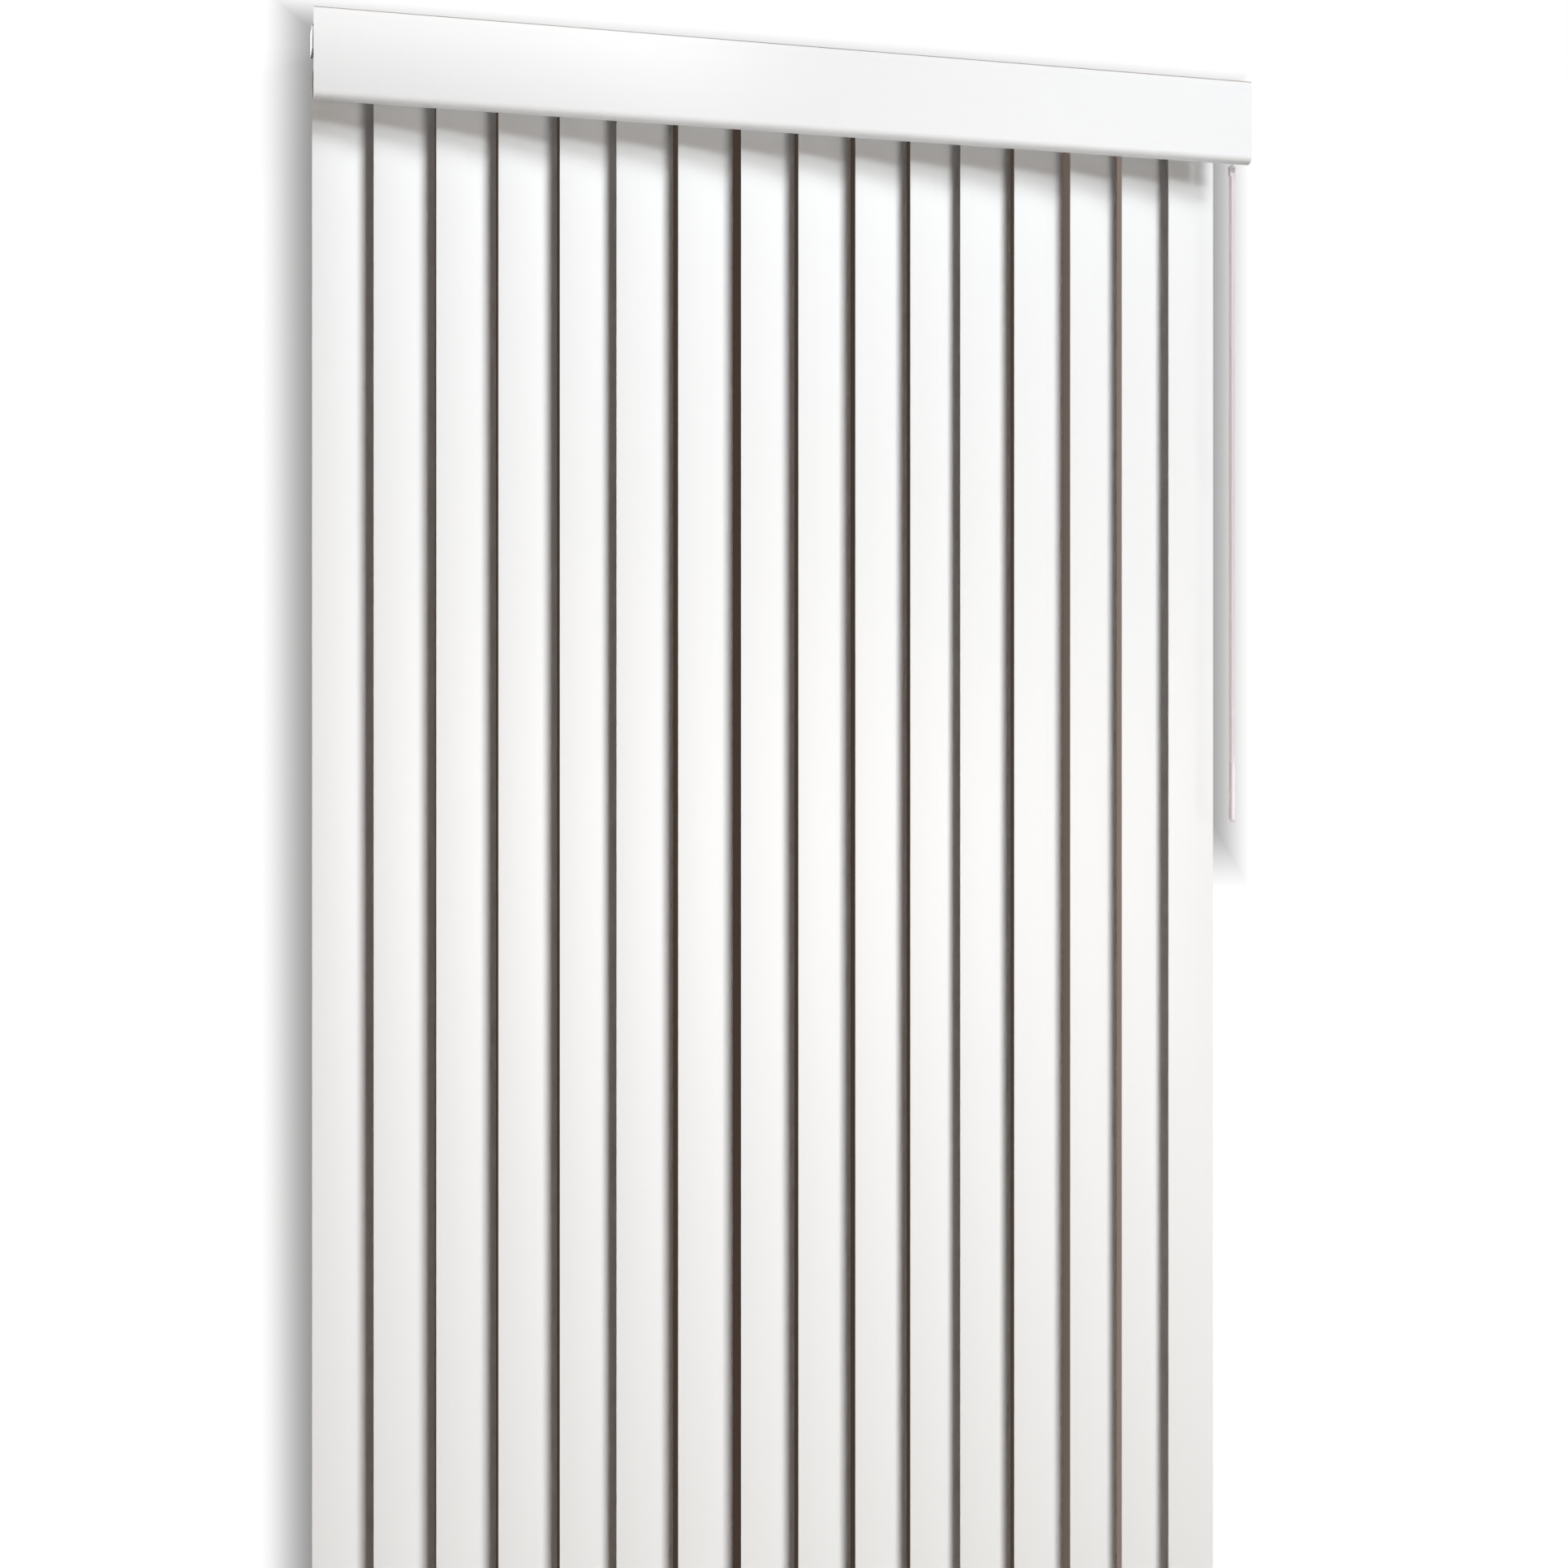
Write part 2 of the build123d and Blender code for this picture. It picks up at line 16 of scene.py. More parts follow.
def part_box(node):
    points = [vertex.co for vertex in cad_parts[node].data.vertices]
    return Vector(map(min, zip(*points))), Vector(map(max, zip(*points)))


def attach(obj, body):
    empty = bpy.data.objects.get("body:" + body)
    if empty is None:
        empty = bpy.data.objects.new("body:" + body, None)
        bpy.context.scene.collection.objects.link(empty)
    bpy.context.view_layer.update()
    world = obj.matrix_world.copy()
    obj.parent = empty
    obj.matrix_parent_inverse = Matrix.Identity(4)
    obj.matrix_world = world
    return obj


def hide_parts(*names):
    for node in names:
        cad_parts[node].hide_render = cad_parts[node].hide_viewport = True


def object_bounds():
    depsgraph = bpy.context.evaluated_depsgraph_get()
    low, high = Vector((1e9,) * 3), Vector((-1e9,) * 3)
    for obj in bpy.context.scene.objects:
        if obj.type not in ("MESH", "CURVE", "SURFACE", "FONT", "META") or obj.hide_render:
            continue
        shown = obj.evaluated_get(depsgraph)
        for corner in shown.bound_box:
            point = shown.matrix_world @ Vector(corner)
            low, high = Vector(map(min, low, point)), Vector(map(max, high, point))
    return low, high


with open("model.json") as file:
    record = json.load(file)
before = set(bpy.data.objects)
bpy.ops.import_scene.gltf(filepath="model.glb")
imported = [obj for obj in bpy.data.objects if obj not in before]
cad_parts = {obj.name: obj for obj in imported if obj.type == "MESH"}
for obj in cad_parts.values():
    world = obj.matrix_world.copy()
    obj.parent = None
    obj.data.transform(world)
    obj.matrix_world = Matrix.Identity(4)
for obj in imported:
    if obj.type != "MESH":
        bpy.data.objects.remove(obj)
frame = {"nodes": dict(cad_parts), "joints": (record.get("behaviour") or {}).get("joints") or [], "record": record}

nodes = frame["nodes"]
joints = {joint["name"]: joint for joint in frame["joints"]}
cad_box = [list(corner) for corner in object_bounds()]

# %% [markdown]
# ## Camera
# The blind is seen from the left, 15 degrees off square, with upright edges that stay parallel. A tilted
# camera would make them lean, so the camera stays level and its lens is shifted down instead, as an
# architect's camera does.

# %% Camera
PICTURE_SIDE = 1932
HORIZON_ROW = 866.8
CAMERA_PLACE = (-0.7456, -2.7734, -0.8019)
CAMERA_YAW = 15
LEVEL_PITCH = 90

camera_data = bpy.data.cameras.new("camera")
camera_data.sensor_width = 36
camera_data.lens = 50
camera_data.shift_y = (HORIZON_ROW - PICTURE_SIDE / 2) / PICTURE_SIDE
camera = bpy.data.objects.new("camera", camera_data)
camera.location = CAMERA_PLACE
camera.rotation_euler = (math.radians(LEVEL_PITCH), 0, math.radians(-CAMERA_YAW))
bpy.context.scene.collection.objects.link(camera)
bpy.context.scene.camera = camera
bpy.context.scene.view_settings.view_transform = "Standard"
print("lens shift:", round(camera_data.shift_y, 4))

# %% [markdown]
# ## Shader maths
# A finish is a graph of nodes. Wiring each Math node by hand hides the sum that it stands for, so a small
# class wraps a socket and lets it be used in Python sums. One method, `node`, makes every other kind of
# node from its type, its settings and its inputs.


# %% A socket that can be used in sums
class Wire:
    """An output socket of a finish's node tree."""

    def __init__(self, tree, socket):
        self.tree = tree
        self.socket = socket

    def node(self, kind, settings=None, inputs=None, output=0):
        made = self.tree.nodes.new(kind)
        for name, value in (settings or {}).items():
            setattr(made, name, value)
        for name, value in (inputs or {}).items():
            if isinstance(value, Wire):
                self.tree.links.new(value.socket, made.inputs[name])
            else:
                made.inputs[name].default_value = value
        return Wire(self.tree, made.outputs[output])

    def sum(self, operation, first, second=0.0):
        return self.node("ShaderNodeMath", {"operation": operation}, {0: first, 1: second})

    def __add__(self, other):
        return self.sum("ADD", self, other)

    def __sub__(self, other):
        return self.sum("SUBTRACT", self, other)

    def __rsub__(self, other):
        return self.sum("SUBTRACT", other, self)

    def __mul__(self, other):
        return self.sum("MULTIPLY", self, other)

    __radd__ = __add__
    __rmul__ = __mul__


# %% Start a finish
def start_finish(name, **constants):
    """A material with a Principled shader, and its Object coordinates as a Wire."""
    material = bpy.data.materials.new(name)
    material.use_nodes = True
    tree = material.node_tree
    shader = tree.nodes["Principled BSDF"]
    for socket, value in constants.items():
        shader.inputs[socket.replace("_", " ")].default_value = value
    place = tree.nodes.new("ShaderNodeTexCoord")
    return material, shader, Wire(tree, place.outputs["Object"])


def join(wire, shader, socket):
    wire.tree.links.new(wire.socket, shader.inputs[socket])


# %% Patterns and colours
def along(place, axis):
    """The X, Y or Z of a place."""
    return place.node("ShaderNodeSeparateXYZ", inputs={"Vector": place}, output=axis)


def noise(place, stretch, detail=2.0):
    """Noise on the piece, its scale given for each axis in ripples per metre."""
    spread = place.node("ShaderNodeMapping", inputs={"Vector": place, "Scale": stretch})
    return place.node("ShaderNodeTexNoise", inputs={"Vector": spread, "Scale": 1.0, "Detail": detail})


def between(factor, low, high):
    """A colour that goes from low to high with the factor. Either can be three numbers or a Wire."""
    first, second = (end if isinstance(end, Wire) else (*end, 1) for end in (low, high))
    return factor.node("ShaderNodeMix", {"data_type": "RGBA"}, {0: factor, 6: first, 7: second}, 2)


def grey(level):
    return level.node("ShaderNodeCombineColor", inputs={"Red": level, "Green": level, "Blue": level})


def steps(value, start, end):
    """A smooth step from zero at start to one at end."""
    return value.node(
        "ShaderNodeMapRange",
        {"interpolation_type": "SMOOTHSTEP"},
        {"Value": value, "From Min": start, "From Max": end, "To Min": 0.0, "To Max": 1.0},
    )


def ripple(height, depth):
    """A Bump node's normal, for a height in shares of depth, in metres."""
    return height.node("ShaderNodeBump", inputs={"Height": height, "Distance": depth, "Strength": 1.0})


print("shader tools ready")

# %% [markdown]
# ## Vinyl
# The vanes and the valance are extruded white vinyl. The die leaves very faint streaks along the length of
# the strip, and the skin is satin with a fine orange peel. A flat white would look like paper, so the
# streaks vary the tint and the gloss a little, and the peel is a bump of a few hundredths of a millimetre.
# A thin brown line of painted shade is drawn along the top edges, and shows along the top of the valance.

# %% Vinyl finishes
VINYL_ROUGH = 0.34
STREAK_ROUGH = 0.12
CLOUD_ROUGH = 0.06
STREAK_SHARE = 0.6
CLOUD_SHARE = 0.4
CLOUD_SIZE = (2.5, 2.5, 2.0)
PEEL_SIZE = (420, 420, 420)
PEEL_SHARE = 0.5
PEEL_DEPTH = 0.00004
# Painted shade: a thin brown line along top edges; its colour, fade height and strength follow.
PAINTED_EDGE_SHADE = (0.36, 0.30, 0.26)
EDGE_SHADE_FADE = 0.0012
EDGE_SHADE_LEAST = 0.75
EDGE_SHADE_CLOUDS = 0.5


def vinyl(name, streak, light, dark, edge_shade_from):
    """White vinyl: streak gives ripples per metre on each axis, and the last argument the height where a painted
    shade line along the top edge begins.
    """
    material, shader, place = start_finish(name, Specular_IOR_Level=0.35, IOR=1.5)
    streaks = noise(place, streak, detail=3.0)
    clouds = noise(place, CLOUD_SIZE)
    peel = noise(place, PEEL_SIZE, detail=1.0)
    white = between(streaks * STREAK_SHARE + clouds * CLOUD_SHARE, dark, light)
    # Painted shade: a thin brown line above a set height, varied by the clouds.
    edge_shade = steps(along(place, "Z"), edge_shade_from, edge_shade_from + EDGE_SHADE_FADE) * (EDGE_SHADE_LEAST + clouds * EDGE_SHADE_CLOUDS)
    join(between(edge_shade, white, PAINTED_EDGE_SHADE), shader, "Base Color")
    join(VINYL_ROUGH + streaks * STREAK_ROUGH + clouds * CLOUD_ROUGH, shader, "Roughness")
    join(ripple(peel * PEEL_SHARE + streaks * (1 - PEEL_SHARE), PEEL_DEPTH), shader, "Normal")
    return material


# %% Vinyl for the vanes and the valance
VANE_STREAK = (160, 160, 0.35)
VANE_LIGHT = (0.905, 0.905, 0.898)
VANE_DARK = (0.872, 0.874, 0.868)
# Height where the vanes' painted top-edge shade begins.
VANE_EDGE_SHADE_FROM = -0.0302
VALANCE_STREAK = (0.3, 220, 220)
# Painted light: the valance is the vanes' vinyl, given a lighter tint because less lamp light falls square on its
# face.
VALANCE_BRIGHTENED_LIGHT = (0.945, 0.945, 0.940)
VALANCE_BRIGHTENED_DARK = (0.915, 0.917, 0.912)
# Height where the valance's painted top-edge shade begins.
VALANCE_EDGE_SHADE_FROM = 0.0296
vane_vinyl = vinyl("vane vinyl", VANE_STREAK, VANE_LIGHT, VANE_DARK, VANE_EDGE_SHADE_FROM)
valance_vinyl = vinyl("valance vinyl", VALANCE_STREAK, VALANCE_BRIGHTENED_LIGHT, VALANCE_BRIGHTENED_DARK, VALANCE_EDGE_SHADE_FROM)
print("vinyl finishes:", vane_vinyl.name, valance_vinyl.name)

# %% [markdown]
# ## Metal and moulded finishes
# Behind the valance are an enamelled rail, a mill-finish rod, plated steel clips, nylon carriers and clear
# stems. They share two recipes. Metal gets fine drawn lines along its length in roughness and bump. A
# moulding gets slow clouds in its tint and a matt grain. The wand and its grip are clear plastic with a
# touch of pink, so they let some of what is behind them through.

# %% Metal and moulded finishes
LINE_ROUGH = 0.15
MOULD_CLOUDS = (60, 60, 60)
MOULD_CLOUD_ROUGH = 0.12
MOULD_GRAIN = (1500, 1500, 1500)
FINE_DEPTH = 0.00003


def drawn_metal(name, light, dark, lines, rough, metallic):
    """Metal or enamel with fine lines: lines gives ripples per metre along each axis."""
    material, shader, place = start_finish(name, Metallic=metallic)
    fine = noise(place, lines, detail=3.0)
    join(between(fine, dark, light), shader, "Base Color")
    join(rough + fine * LINE_ROUGH, shader, "Roughness")
    join(ripple(fine, FINE_DEPTH), shader, "Normal")
    return material


def moulding(name, light, dark, rough, **constants):
    """Moulded plastic with a cloudy tint and a fine grain."""
    material, shader, place = start_finish(name, **constants)
    clouds = noise(place, MOULD_CLOUDS, detail=3.0)
    grain = noise(place, MOULD_GRAIN, detail=1.0)
    join(between(clouds, dark, light), shader, "Base Color")
    join(rough + clouds * MOULD_CLOUD_ROUGH, shader, "Roughness")
    join(ripple(grain, FINE_DEPTH), shader, "Normal")
    return material


# %% The finishes by name
finishes = {
    "vane_vinyl": vane_vinyl,
    "valance_vinyl": valance_vinyl,
    "rail_aluminium": drawn_metal(
        "rail enamel", (0.84, 0.84, 0.83), (0.78, 0.78, 0.78), (0.5, 700, 700), rough=0.3, metallic=0.0
    ),
    "rod_aluminium": drawn_metal(
        "rod mill finish", (0.80, 0.81, 0.82), (0.62, 0.63, 0.65), (0.6, 900, 900), rough=0.28, metallic=1.0
    ),
    "bracket_steel": drawn_metal(
        "bracket enamel", (0.83, 0.83, 0.82), (0.76, 0.76, 0.75), (90, 90, 90), rough=0.32, metallic=0.0
    ),
    "spring_steel": drawn_metal(
        "plated steel", (0.70, 0.70, 0.71), (0.52, 0.52, 0.54), (1200, 40, 40), rough=0.3, metallic=1.0
    ),
    "carrier_nylon": moulding("carrier nylon", (0.82, 0.81, 0.78), (0.74, 0.73, 0.70), rough=0.45),
    "cap_plastic": moulding("cap plastic", (0.86, 0.86, 0.85), (0.80, 0.80, 0.79), rough=0.4),
    "grip_plastic": moulding(
        "grip plastic", (0.88, 0.85, 0.85), (0.82, 0.78, 0.79), rough=0.35, Alpha=0.55
    ),
    "clear_plastic": moulding(
        "clear plastic",
        (0.90, 0.91, 0.91),
        (0.84, 0.85, 0.85),
        rough=0.12,
        Transmission_Weight=0.7,
        IOR=1.49,
    ),
    "wand_acrylic": moulding(
        "wand acrylic", (0.86, 0.77, 0.77), (0.80, 0.70, 0.71), rough=0.30, Alpha=0.65, IOR=1.49
    ),
}
print("finishes:", sorted(finishes))

# %% [markdown]
# ## Dress the solid parts
# The record says which finish each part takes, so a loop hands them out. A clear wand throws next to no
# shade on the vane behind it, so the wand's two pieces throw none.

# %% Dress the solid parts
CLEAR_PIECES = ("wand_rod", "wand_grip")
for subpart in frame["record"]["subparts"]:
    slots = nodes[subpart["node"]].data.materials
    slots.clear()
    slots.append(finishes[subpart["material_slot"]])
for name in CLEAR_PIECES:
    nodes[name].visible_shadow = False

# %% [markdown]
# ## Vanes
# A vane is a strip of vinyl 0.8 mm thick, curved across its width so that it stays stiff, with rounded
# corners and a slot near the top for its hook. A subdivided box would spread its points evenly, but only
# the curve needs them. So an upright line is spun through the small angle of the curve, the slot is cut
# with four planes, the corners are bevelled while it is still a sheet, and then it gets its thickness and
# soft edges.

# %% Vane sizes
VANE_WIDTH = 0.0794
VANE_THICKNESS = 0.0008
VANE_CROWN = 0.0026
VANE_CORNER = 0.005
VANE_TURN = 15
VANE_TURN_STEPS = [0, 0.5, 0.5, 0, 0, -1, 0, 0.5, 0.5, 0, -1, -1.5, -0.5, 0.5, 0, 1]
SLOT_WIDTH = 0.010
SLOT_HEIGHT = 0.005
SLOT_DROP = 0.010
CURVE_STEPS = 28
CORNER_STEPS = 6
EDGE_SOFTNESS = 0.00025
EDGE_STEPS = 2
RIM_ANGLE = 50
NEAR = 1e-5

vane_radius = ((VANE_WIDTH / 2) ** 2 + VANE_CROWN**2) / (2 * VANE_CROWN)
vane_half_angle = math.asin(VANE_WIDTH / 2 / vane_radius)
vane_low, vane_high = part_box("vane_01")
print("curve radius:", round(vane_radius, 4), "height:", round(vane_high.z - vane_low.z, 4))


# %% The sheet of a vane
def vane_sheet(top, bottom):
    """A curved sheet without thickness, its middle on the upright axis, with its hook slot."""
    sheet = bmesh.new()
    left = (-VANE_WIDTH / 2, VANE_CROWN)
    ends = [sheet.verts.new((*left, top)), sheet.verts.new((*left, bottom))]
    line = sheet.edges.new(ends)
    bmesh.ops.spin(
        sheet,
        geom=[*ends, line],
        cent=(0, vane_radius, 0),
        axis=(0, 0, 1),
        angle=2 * vane_half_angle,
        steps=CURVE_STEPS,
    )
    slot_z = top - SLOT_DROP
    cuts = [((side * SLOT_WIDTH / 2, 0, 0), (1, 0, 0)) for side in (-1, 1)]
    cuts += [((0, 0, slot_z + side * SLOT_HEIGHT / 2), (0, 0, 1)) for side in (-1, 1)]
    for place, normal in cuts:
        bmesh.ops.bisect_plane(
            sheet, geom=[*sheet.verts, *sheet.edges, *sheet.faces], plane_co=place, plane_no=normal
        )
    in_slot = []
    for face in sheet.faces:
        middle = face.calc_center_median()
        if abs(middle.x) < SLOT_WIDTH / 2 and abs(middle.z - slot_z) < SLOT_HEIGHT / 2:
            in_slot.append(face)
    bmesh.ops.delete(sheet, geom=in_slot, context="FACES")
    return sheet


# %% Corners and thickness
def round_corners(sheet, top, bottom):
    corners = []
    for vert in sheet.verts:
        from_side = abs(abs(vert.co.x) - VANE_WIDTH / 2)
        from_end = min(abs(vert.co.z - top), abs(vert.co.z - bottom))
        if max(from_side, from_end) < NEAR:
            corners.append(vert)
    bmesh.ops.bevel(
        sheet,
        geom=corners,
        offset=VANE_CORNER,
        affect="VERTICES",
        segments=CORNER_STEPS,
        profile=0.5,
        material=-1,
    )


def thicken(sheet):
    """Gives the sheet its thickness, centred on where it was, and softens its rim."""
    bmesh.ops.recalc_face_normals(sheet, faces=sheet.faces[:])
    if sum(face.normal.y * face.calc_area() for face in sheet.faces) > 0:
        bmesh.ops.reverse_faces(sheet, faces=sheet.faces[:])
    for vert in sheet.verts:
        vert.co += vert.normal * VANE_THICKNESS / 2
    bmesh.ops.solidify(sheet, geom=sheet.faces[:], thickness=VANE_THICKNESS)
    bmesh.ops.recalc_face_normals(sheet, faces=sheet.faces[:])
    rim = [edge for edge in sheet.edges if edge.calc_face_angle(0) > math.radians(RIM_ANGLE)]
    bmesh.ops.bevel(
        sheet,
        geom=rim,
        offset=EDGE_SOFTNESS,
        affect="EDGES",
        segments=EDGE_STEPS,
        profile=0.5,
        material=-1,
    )


# %% Put a piece in the scene
def place_piece(shape, name, body, slot, *replaced):
    """Makes an object of a bmesh, rides it on its body and hides the nodes it stands for."""
    mesh = bpy.data.meshes.new(name)
    for face in shape.faces:
        face.smooth = True
    shape.to_mesh(mesh)
    shape.free()
    mesh.materials.append(finishes[slot])
    piece = bpy.data.objects.new(name, mesh)
    bpy.context.scene.collection.objects.link(piece)
    even = piece.modifiers.new("even shading", "WEIGHTED_NORMAL")
    even.keep_sharp = True
    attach(piece, body)
    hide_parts(*replaced)
    return piece


# %% Hang the vanes
vanes = []
for number, step in enumerate(VANE_TURN_STEPS, 1):
    name = f"vane_{number:02d}"
    hinge = joints["tilt" if number == len(VANE_TURN_STEPS) else f"tilt_{number:02d}"]
    low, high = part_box(name)
    shape = vane_sheet(high.z, low.z)
    round_corners(shape, high.z, low.z)
    thicken(shape)
    pivot = Vector((*hinge["pos_m"][:2], 0))
    turn = Matrix.Rotation(math.radians(VANE_TURN + step), 4, "Z")
    bmesh.ops.transform(shape, matrix=Matrix.Translation(pivot) @ turn, verts=shape.verts[:])
    vanes.append(place_piece(shape, f"{name}_strip", f"vane_set_{number:02d}", "vane_vinyl", name))
print("vanes:", len(vanes), "faces each:", len(vanes[0].data.polygons))

# %% [markdown]
# ## Studio
# The blind hangs on a patch of white wall over a pale floor that fades to white. Behind the vanes the wall is
# painted dark brown, lighter to the right, for a brown window in the shade behind the blind; its darkness is
# painted shade, and shows as lines between the vanes. Close to the blind the wall's glow is turned down as
# painted shade, where less light would get to it, and on the right only as far down as the wand. The wall is
# made for the camera's side alone: from behind it is clear, and it takes no part in the light, so the blind can
# be looked at from all sides.


# %% Stage tools
def stage_board(name, corners, material):
    board = bmesh.new()
    board.faces.new([board.verts.new(corner) for corner in corners])
    mesh = bpy.data.meshes.new(name)
    board.to_mesh(mesh)
    board.free()
    mesh.materials.append(material)
    made = bpy.data.objects.new(name, mesh)
    bpy.context.scene.collection.objects.link(made)
    return made


def seen_directly(place):
    """One for rays from the camera, from gloss and through glass, and zero for the rest."""
    seen = place.node("ShaderNodeLightPath", output="Is Camera Ray")
    gloss = place.node("ShaderNodeLightPath", output="Is Glossy Ray")
    glass = place.node("ShaderNodeLightPath", output="Is Transmission Ray")
    return seen.sum("MAXIMUM", seen, gloss.sum("MAXIMUM", gloss, glass))


# %% Wall paint
# Painted shade: the window patch is a dark brown, lighter to the right, where behind the vanes there is only
# shade.
WINDOW_HALF = 0.575
WINDOW_SIDE_FADE = 0.012
WINDOW_TOP = -0.02
WINDOW_TOP_FADE = 0.02
WINDOW_BROWN = (0.054, 0.038, 0.029)
WINDOW_EDGE = (0.33, 0.26, 0.225)
WINDOW_LIGHTER = (0.28, 0.60)
WINDOW_PAINT = (0.03, 0.025, 0.02)
WALL_PAINT = (0.11, 0.11, 0.11)
# Painted shade on the wall: how far it reaches beside and above the blind, and where it stops below the wand on
# the right.
SHADE_RIGHT = (0.605, 0.690)
SHADE_LEFT = (0.600, 0.685)
SHADE_TOP = (0.030, 0.095)
SHADE_FOOT = (-1.09, -0.95)
SHADE_FOOT_SIDE = (0.0, 0.1)
SHADE_GLOW = 0.27

wall_paint, wall_shader, wall_place = start_finish("wall paint", Roughness=1.0, Specular_IOR_Level=0.0)
wall_x = along(wall_place, "X")
wall_z = along(wall_place, "Z")
aside = wall_x.sum("ABSOLUTE", wall_x)
window_sides = 1 - steps(aside, WINDOW_HALF, WINDOW_HALF + WINDOW_SIDE_FADE)
window = window_sides * (1 - steps(wall_z, WINDOW_TOP - WINDOW_TOP_FADE, WINDOW_TOP))
# Painted shade: the wall's glow is lowered close to the blind, and on the right only down to the wand.
away = steps(wall_x, *SHADE_RIGHT)
away = away.sum("MAXIMUM", away, steps(0 - wall_x, *SHADE_LEFT))
away = away.sum("MAXIMUM", away, steps(wall_z, *SHADE_TOP))
below_wand = (1 - steps(wall_z, *SHADE_FOOT)) * steps(wall_x, *SHADE_FOOT_SIDE)
away = away.sum("MAXIMUM", away, below_wand)
glow_with_painted_shade = away * (1 - SHADE_GLOW) + SHADE_GLOW
# Painted shade: the dark brown of the window patch, lighter to the right.
window_in_painted_shade = between(steps(wall_x, *WINDOW_LIGHTER), WINDOW_BROWN, WINDOW_EDGE)
join(between(window, WALL_PAINT, WINDOW_PAINT), wall_shader, "Base Color")
join(between(window, grey(glow_with_painted_shade), window_in_painted_shade), wall_shader, "Emission Color")
wall_shader.inputs["Emission Strength"].default_value = 1.0
print("window from", -WINDOW_HALF, "to", WINDOW_HALF)

# %% Wall
WALL_GAP = 0.002
WALL_LEFT = -1.05
WALL_RIGHT = 1.25
WALL_TOP = 0.11
FLOOR_DROP = 0.04
floor_z = cad_box[0][2] - FLOOR_DROP

behind = wall_place.node("ShaderNodeNewGeometry", output="Backfacing")
wall_seen = seen_directly(wall_place) * (1 - behind)
clear = wall_place.node("ShaderNodeBsdfTransparent")
wall_tree = wall_paint.node_tree
painted = Wire(wall_tree, wall_shader.outputs[0])
wall_mix = wall_seen.node("ShaderNodeMixShader", inputs={0: wall_seen, 1: clear, 2: painted})
join(wall_mix, wall_tree.nodes["Material Output"], "Surface")

wall = stage_board(
    "wall",
    [
        (WALL_LEFT, WALL_GAP, floor_z),
        (WALL_RIGHT, WALL_GAP, floor_z),
        (WALL_RIGHT, WALL_GAP, WALL_TOP),
        (WALL_LEFT, WALL_GAP, WALL_TOP),
    ],
    wall_paint,
)
print("wall faces:", tuple(wall.data.polygons[0].normal))

# %% Floor
FLOOR_HALF = 9.0
FLOOR_FADE = (0.8, 2.6)
FLOOR_PALE = 0.24
FLOOR_GRAIN = 0.04
FLOOR_GLOW = 0.62
FLOOR_BOUNCE = (0.25, 0.23, 0.21)
FLOOR_CLOUDS = (3, 3, 3)
FLATTEN = (1, 1, 0)

floor_paint, floor_shader, floor_place = start_finish("floor paint", Roughness=0.9, Specular_IOR_Level=0.1)
grain = noise(floor_place, FLOOR_CLOUDS, detail=3.0)
floor_seen = seen_directly(floor_place)
level = floor_place.node("ShaderNodeVectorMath", {"operation": "MULTIPLY"}, {0: floor_place, 1: FLATTEN})
reach = level.node("ShaderNodeVectorMath", {"operation": "LENGTH"}, {0: level}, "Value")
far = steps(reach, *FLOOR_FADE)
pale = (FLOOR_PALE + grain * FLOOR_GRAIN) * (1 - far)
join(between(floor_seen, FLOOR_BOUNCE, grey(pale)), floor_shader, "Base Color")
shine = (FLOOR_GLOW + far * (1 - FLOOR_GLOW)) * floor_seen
join(grey(shine), floor_shader, "Emission Color")
floor_shader.inputs["Emission Strength"].default_value = 1.0
floor = stage_board(
    "floor",
    [
        (-FLOOR_HALF, -FLOOR_HALF, floor_z),
        (FLOOR_HALF, -FLOOR_HALF, floor_z),
        (FLOOR_HALF, FLOOR_HALF, floor_z),
        (-FLOOR_HALF, FLOOR_HALF, floor_z),
    ],
    floor_paint,
)
print("floor height:", round(floor_z, 3))

# %% [markdown]
# ## Light
# Three soft boxes stand to the right in front of the blind, one above another. The upper two throw the two
# steps of shade under the valance, and all three throw the shade of each vane on its neighbour to the left.
# Two small ones help the valance: one lifts its left half, and one shines straight up from the floor at
# its lower edge, so close along the vanes that it hardly lights them. The last stands behind on the left,
# for looking at the back. Its light isn't passed on from piece to piece, or it would come through to the
# front. The world adds a dim brown fill from the room in front and a plain one behind.

# %% Lamps
COOL = (0.930, 0.962, 1.0)
COOLER = (0.885, 0.957, 1.0)
WARM = (1.0, 0.988, 0.970)
PLAIN = (1.0, 1.0, 1.0)
BACK_BOUNCES = 0
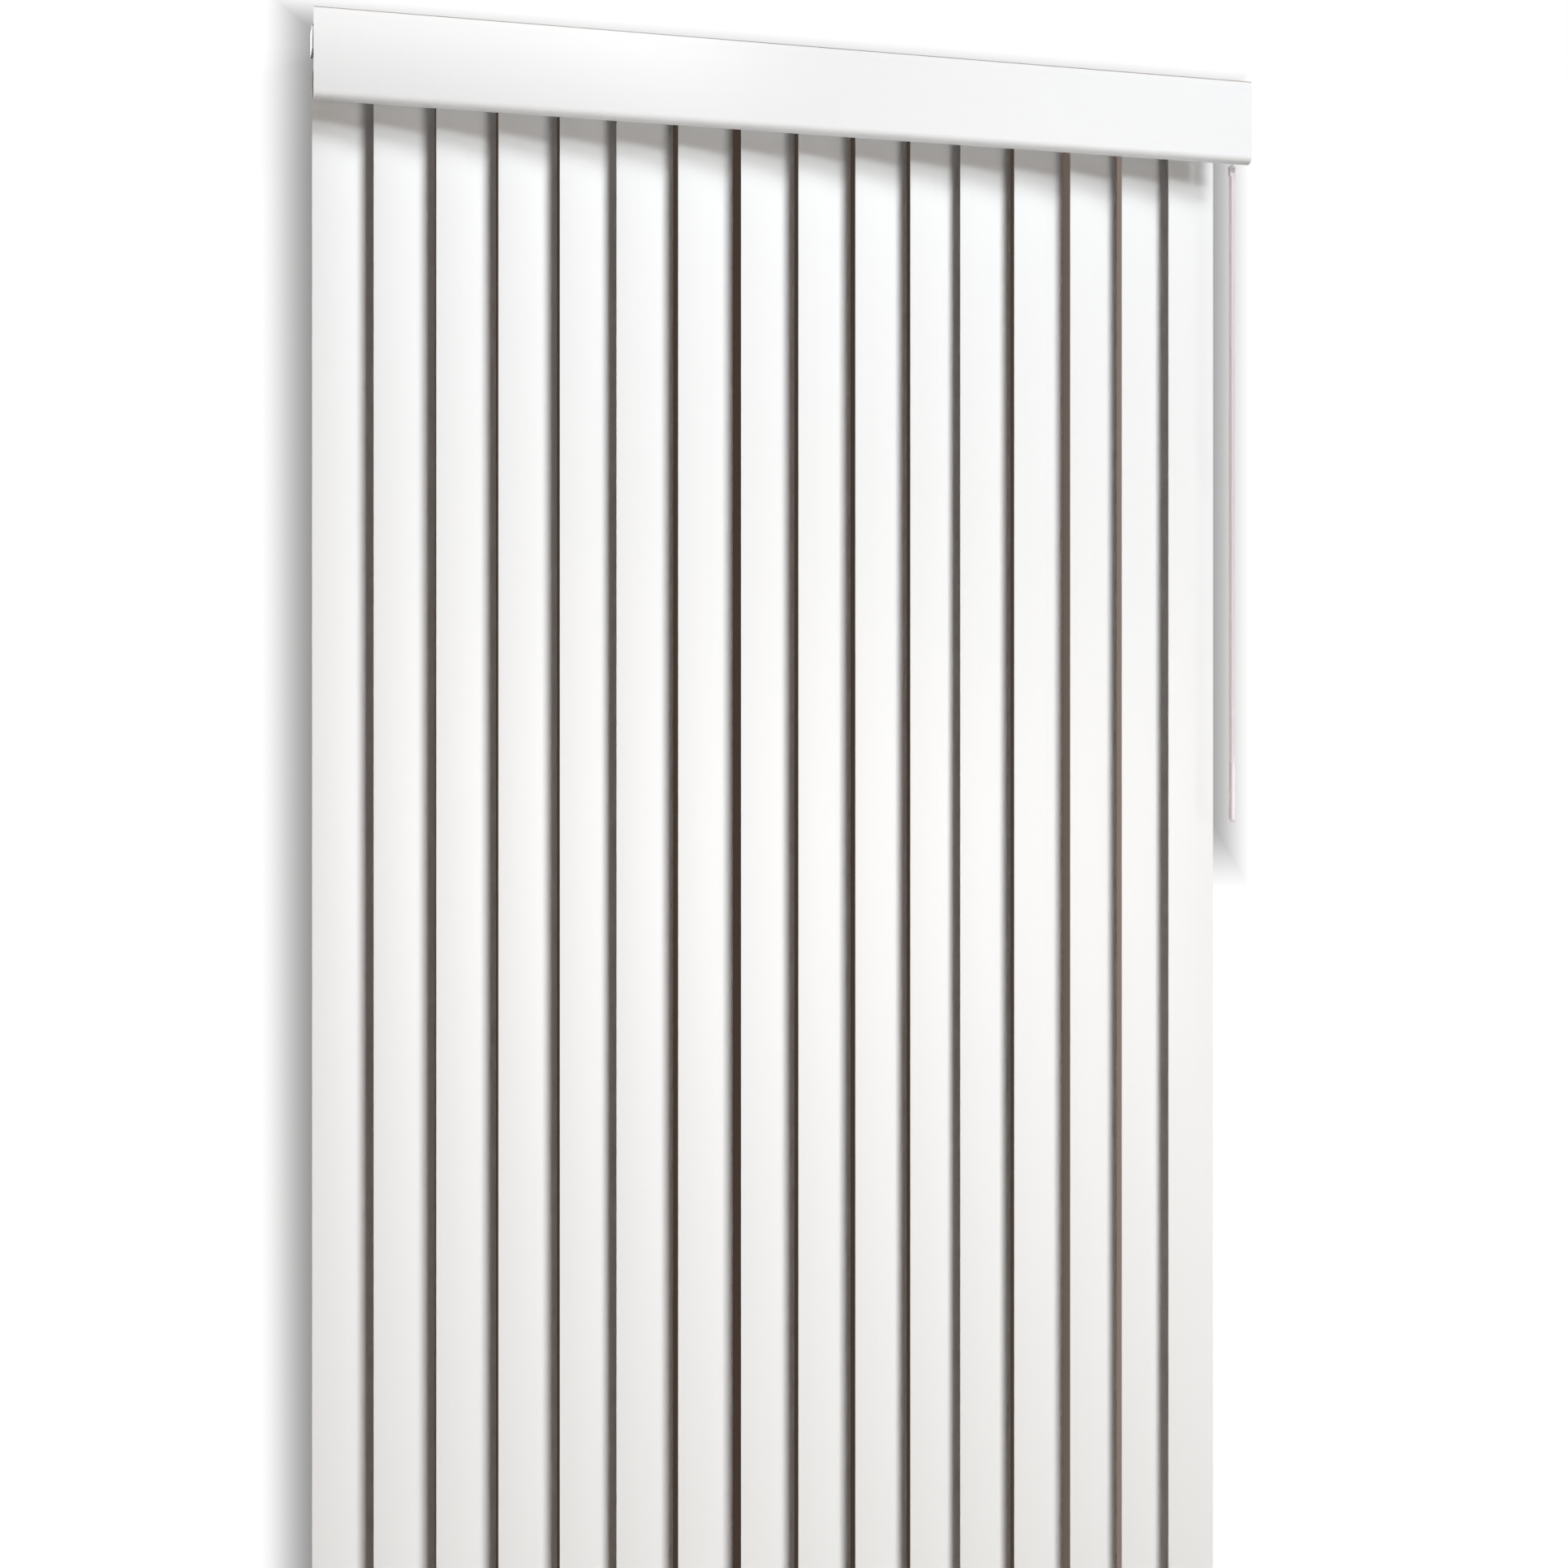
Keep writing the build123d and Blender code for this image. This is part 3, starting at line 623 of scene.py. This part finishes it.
# Each box: name, place, target, size, spread in degrees, power in watts, colour.
SOFT_BOXES = [
    ("upper box", (1.98, -3.10, 2.06), (-1.64, 0, -0.26), (2.7, 0.43), 108, 40.3, COOL),
    ("middle box", (2.10, -3.10, 0.85), (-1.59, 0, -0.62), (2.7, 0.38), 160, 40.9, COOLER),
    ("lower box", (2.00, -3.10, -1.18), (-2.89, 0, -2.39), (2.7, 0.72), 108, 38.0, WARM),
    ("valance box", (-0.70, -1.25, 0.36), (-0.50, -0.117, 0.08), (0.8, 0.04), 16, 0.11, PLAIN),
    ("lip box", (0, -0.24, -2.05), (0, -0.13, -0.08), (1.4, 0.04), 12, 0.065, COOLER),
    ("back box", (-2.6, 2.6, 0.4), (0, 0, -1.0), (2.0, 2.0), 180, 130, PLAIN),
]


def soft_box(name, place, target, size, spread, power, colour):
    lamp = bpy.data.lights.new(name, "AREA")
    lamp.shape = "RECTANGLE"
    lamp.size, lamp.size_y = size
    lamp.spread = math.radians(spread)
    lamp.energy = power
    lamp.color = colour
    made = bpy.data.objects.new(name, lamp)
    made.location = place
    aim = Vector(target) - Vector(place)
    made.rotation_euler = aim.to_track_quat("-Z", "Y").to_euler()
    made.visible_camera = False
    bpy.context.scene.collection.objects.link(made)
    return made


lamps = [soft_box(*box) for box in SOFT_BOXES]
lamps[-1].data.cycles.max_bounces = BACK_BOUNCES
print("lamps:", [lamp.name for lamp in lamps])

# %% World
FRONT_FILL = (0.070, 0.022, 0.000)
BACK_FILL = (0.030, 0.030, 0.030)
FILL_TURN = (-0.3, 0.3)
WHITE = (1, 1, 1)

world = bpy.data.worlds.new("studio")
bpy.context.scene.world = world
world.use_nodes = True
sky_tree = world.node_tree
sky = sky_tree.nodes["Background"]
sky_place = Wire(sky_tree, sky_tree.nodes.new("ShaderNodeTexCoord").outputs["Generated"])
room = between(steps(along(sky_place, "Y"), *FILL_TURN), FRONT_FILL, BACK_FILL)
join(between(seen_directly(sky_place), room, WHITE), sky, "Color")
sky.inputs["Strength"].default_value = 1.0
print("fill from the room:", FRONT_FILL, "and from behind:", BACK_FILL)
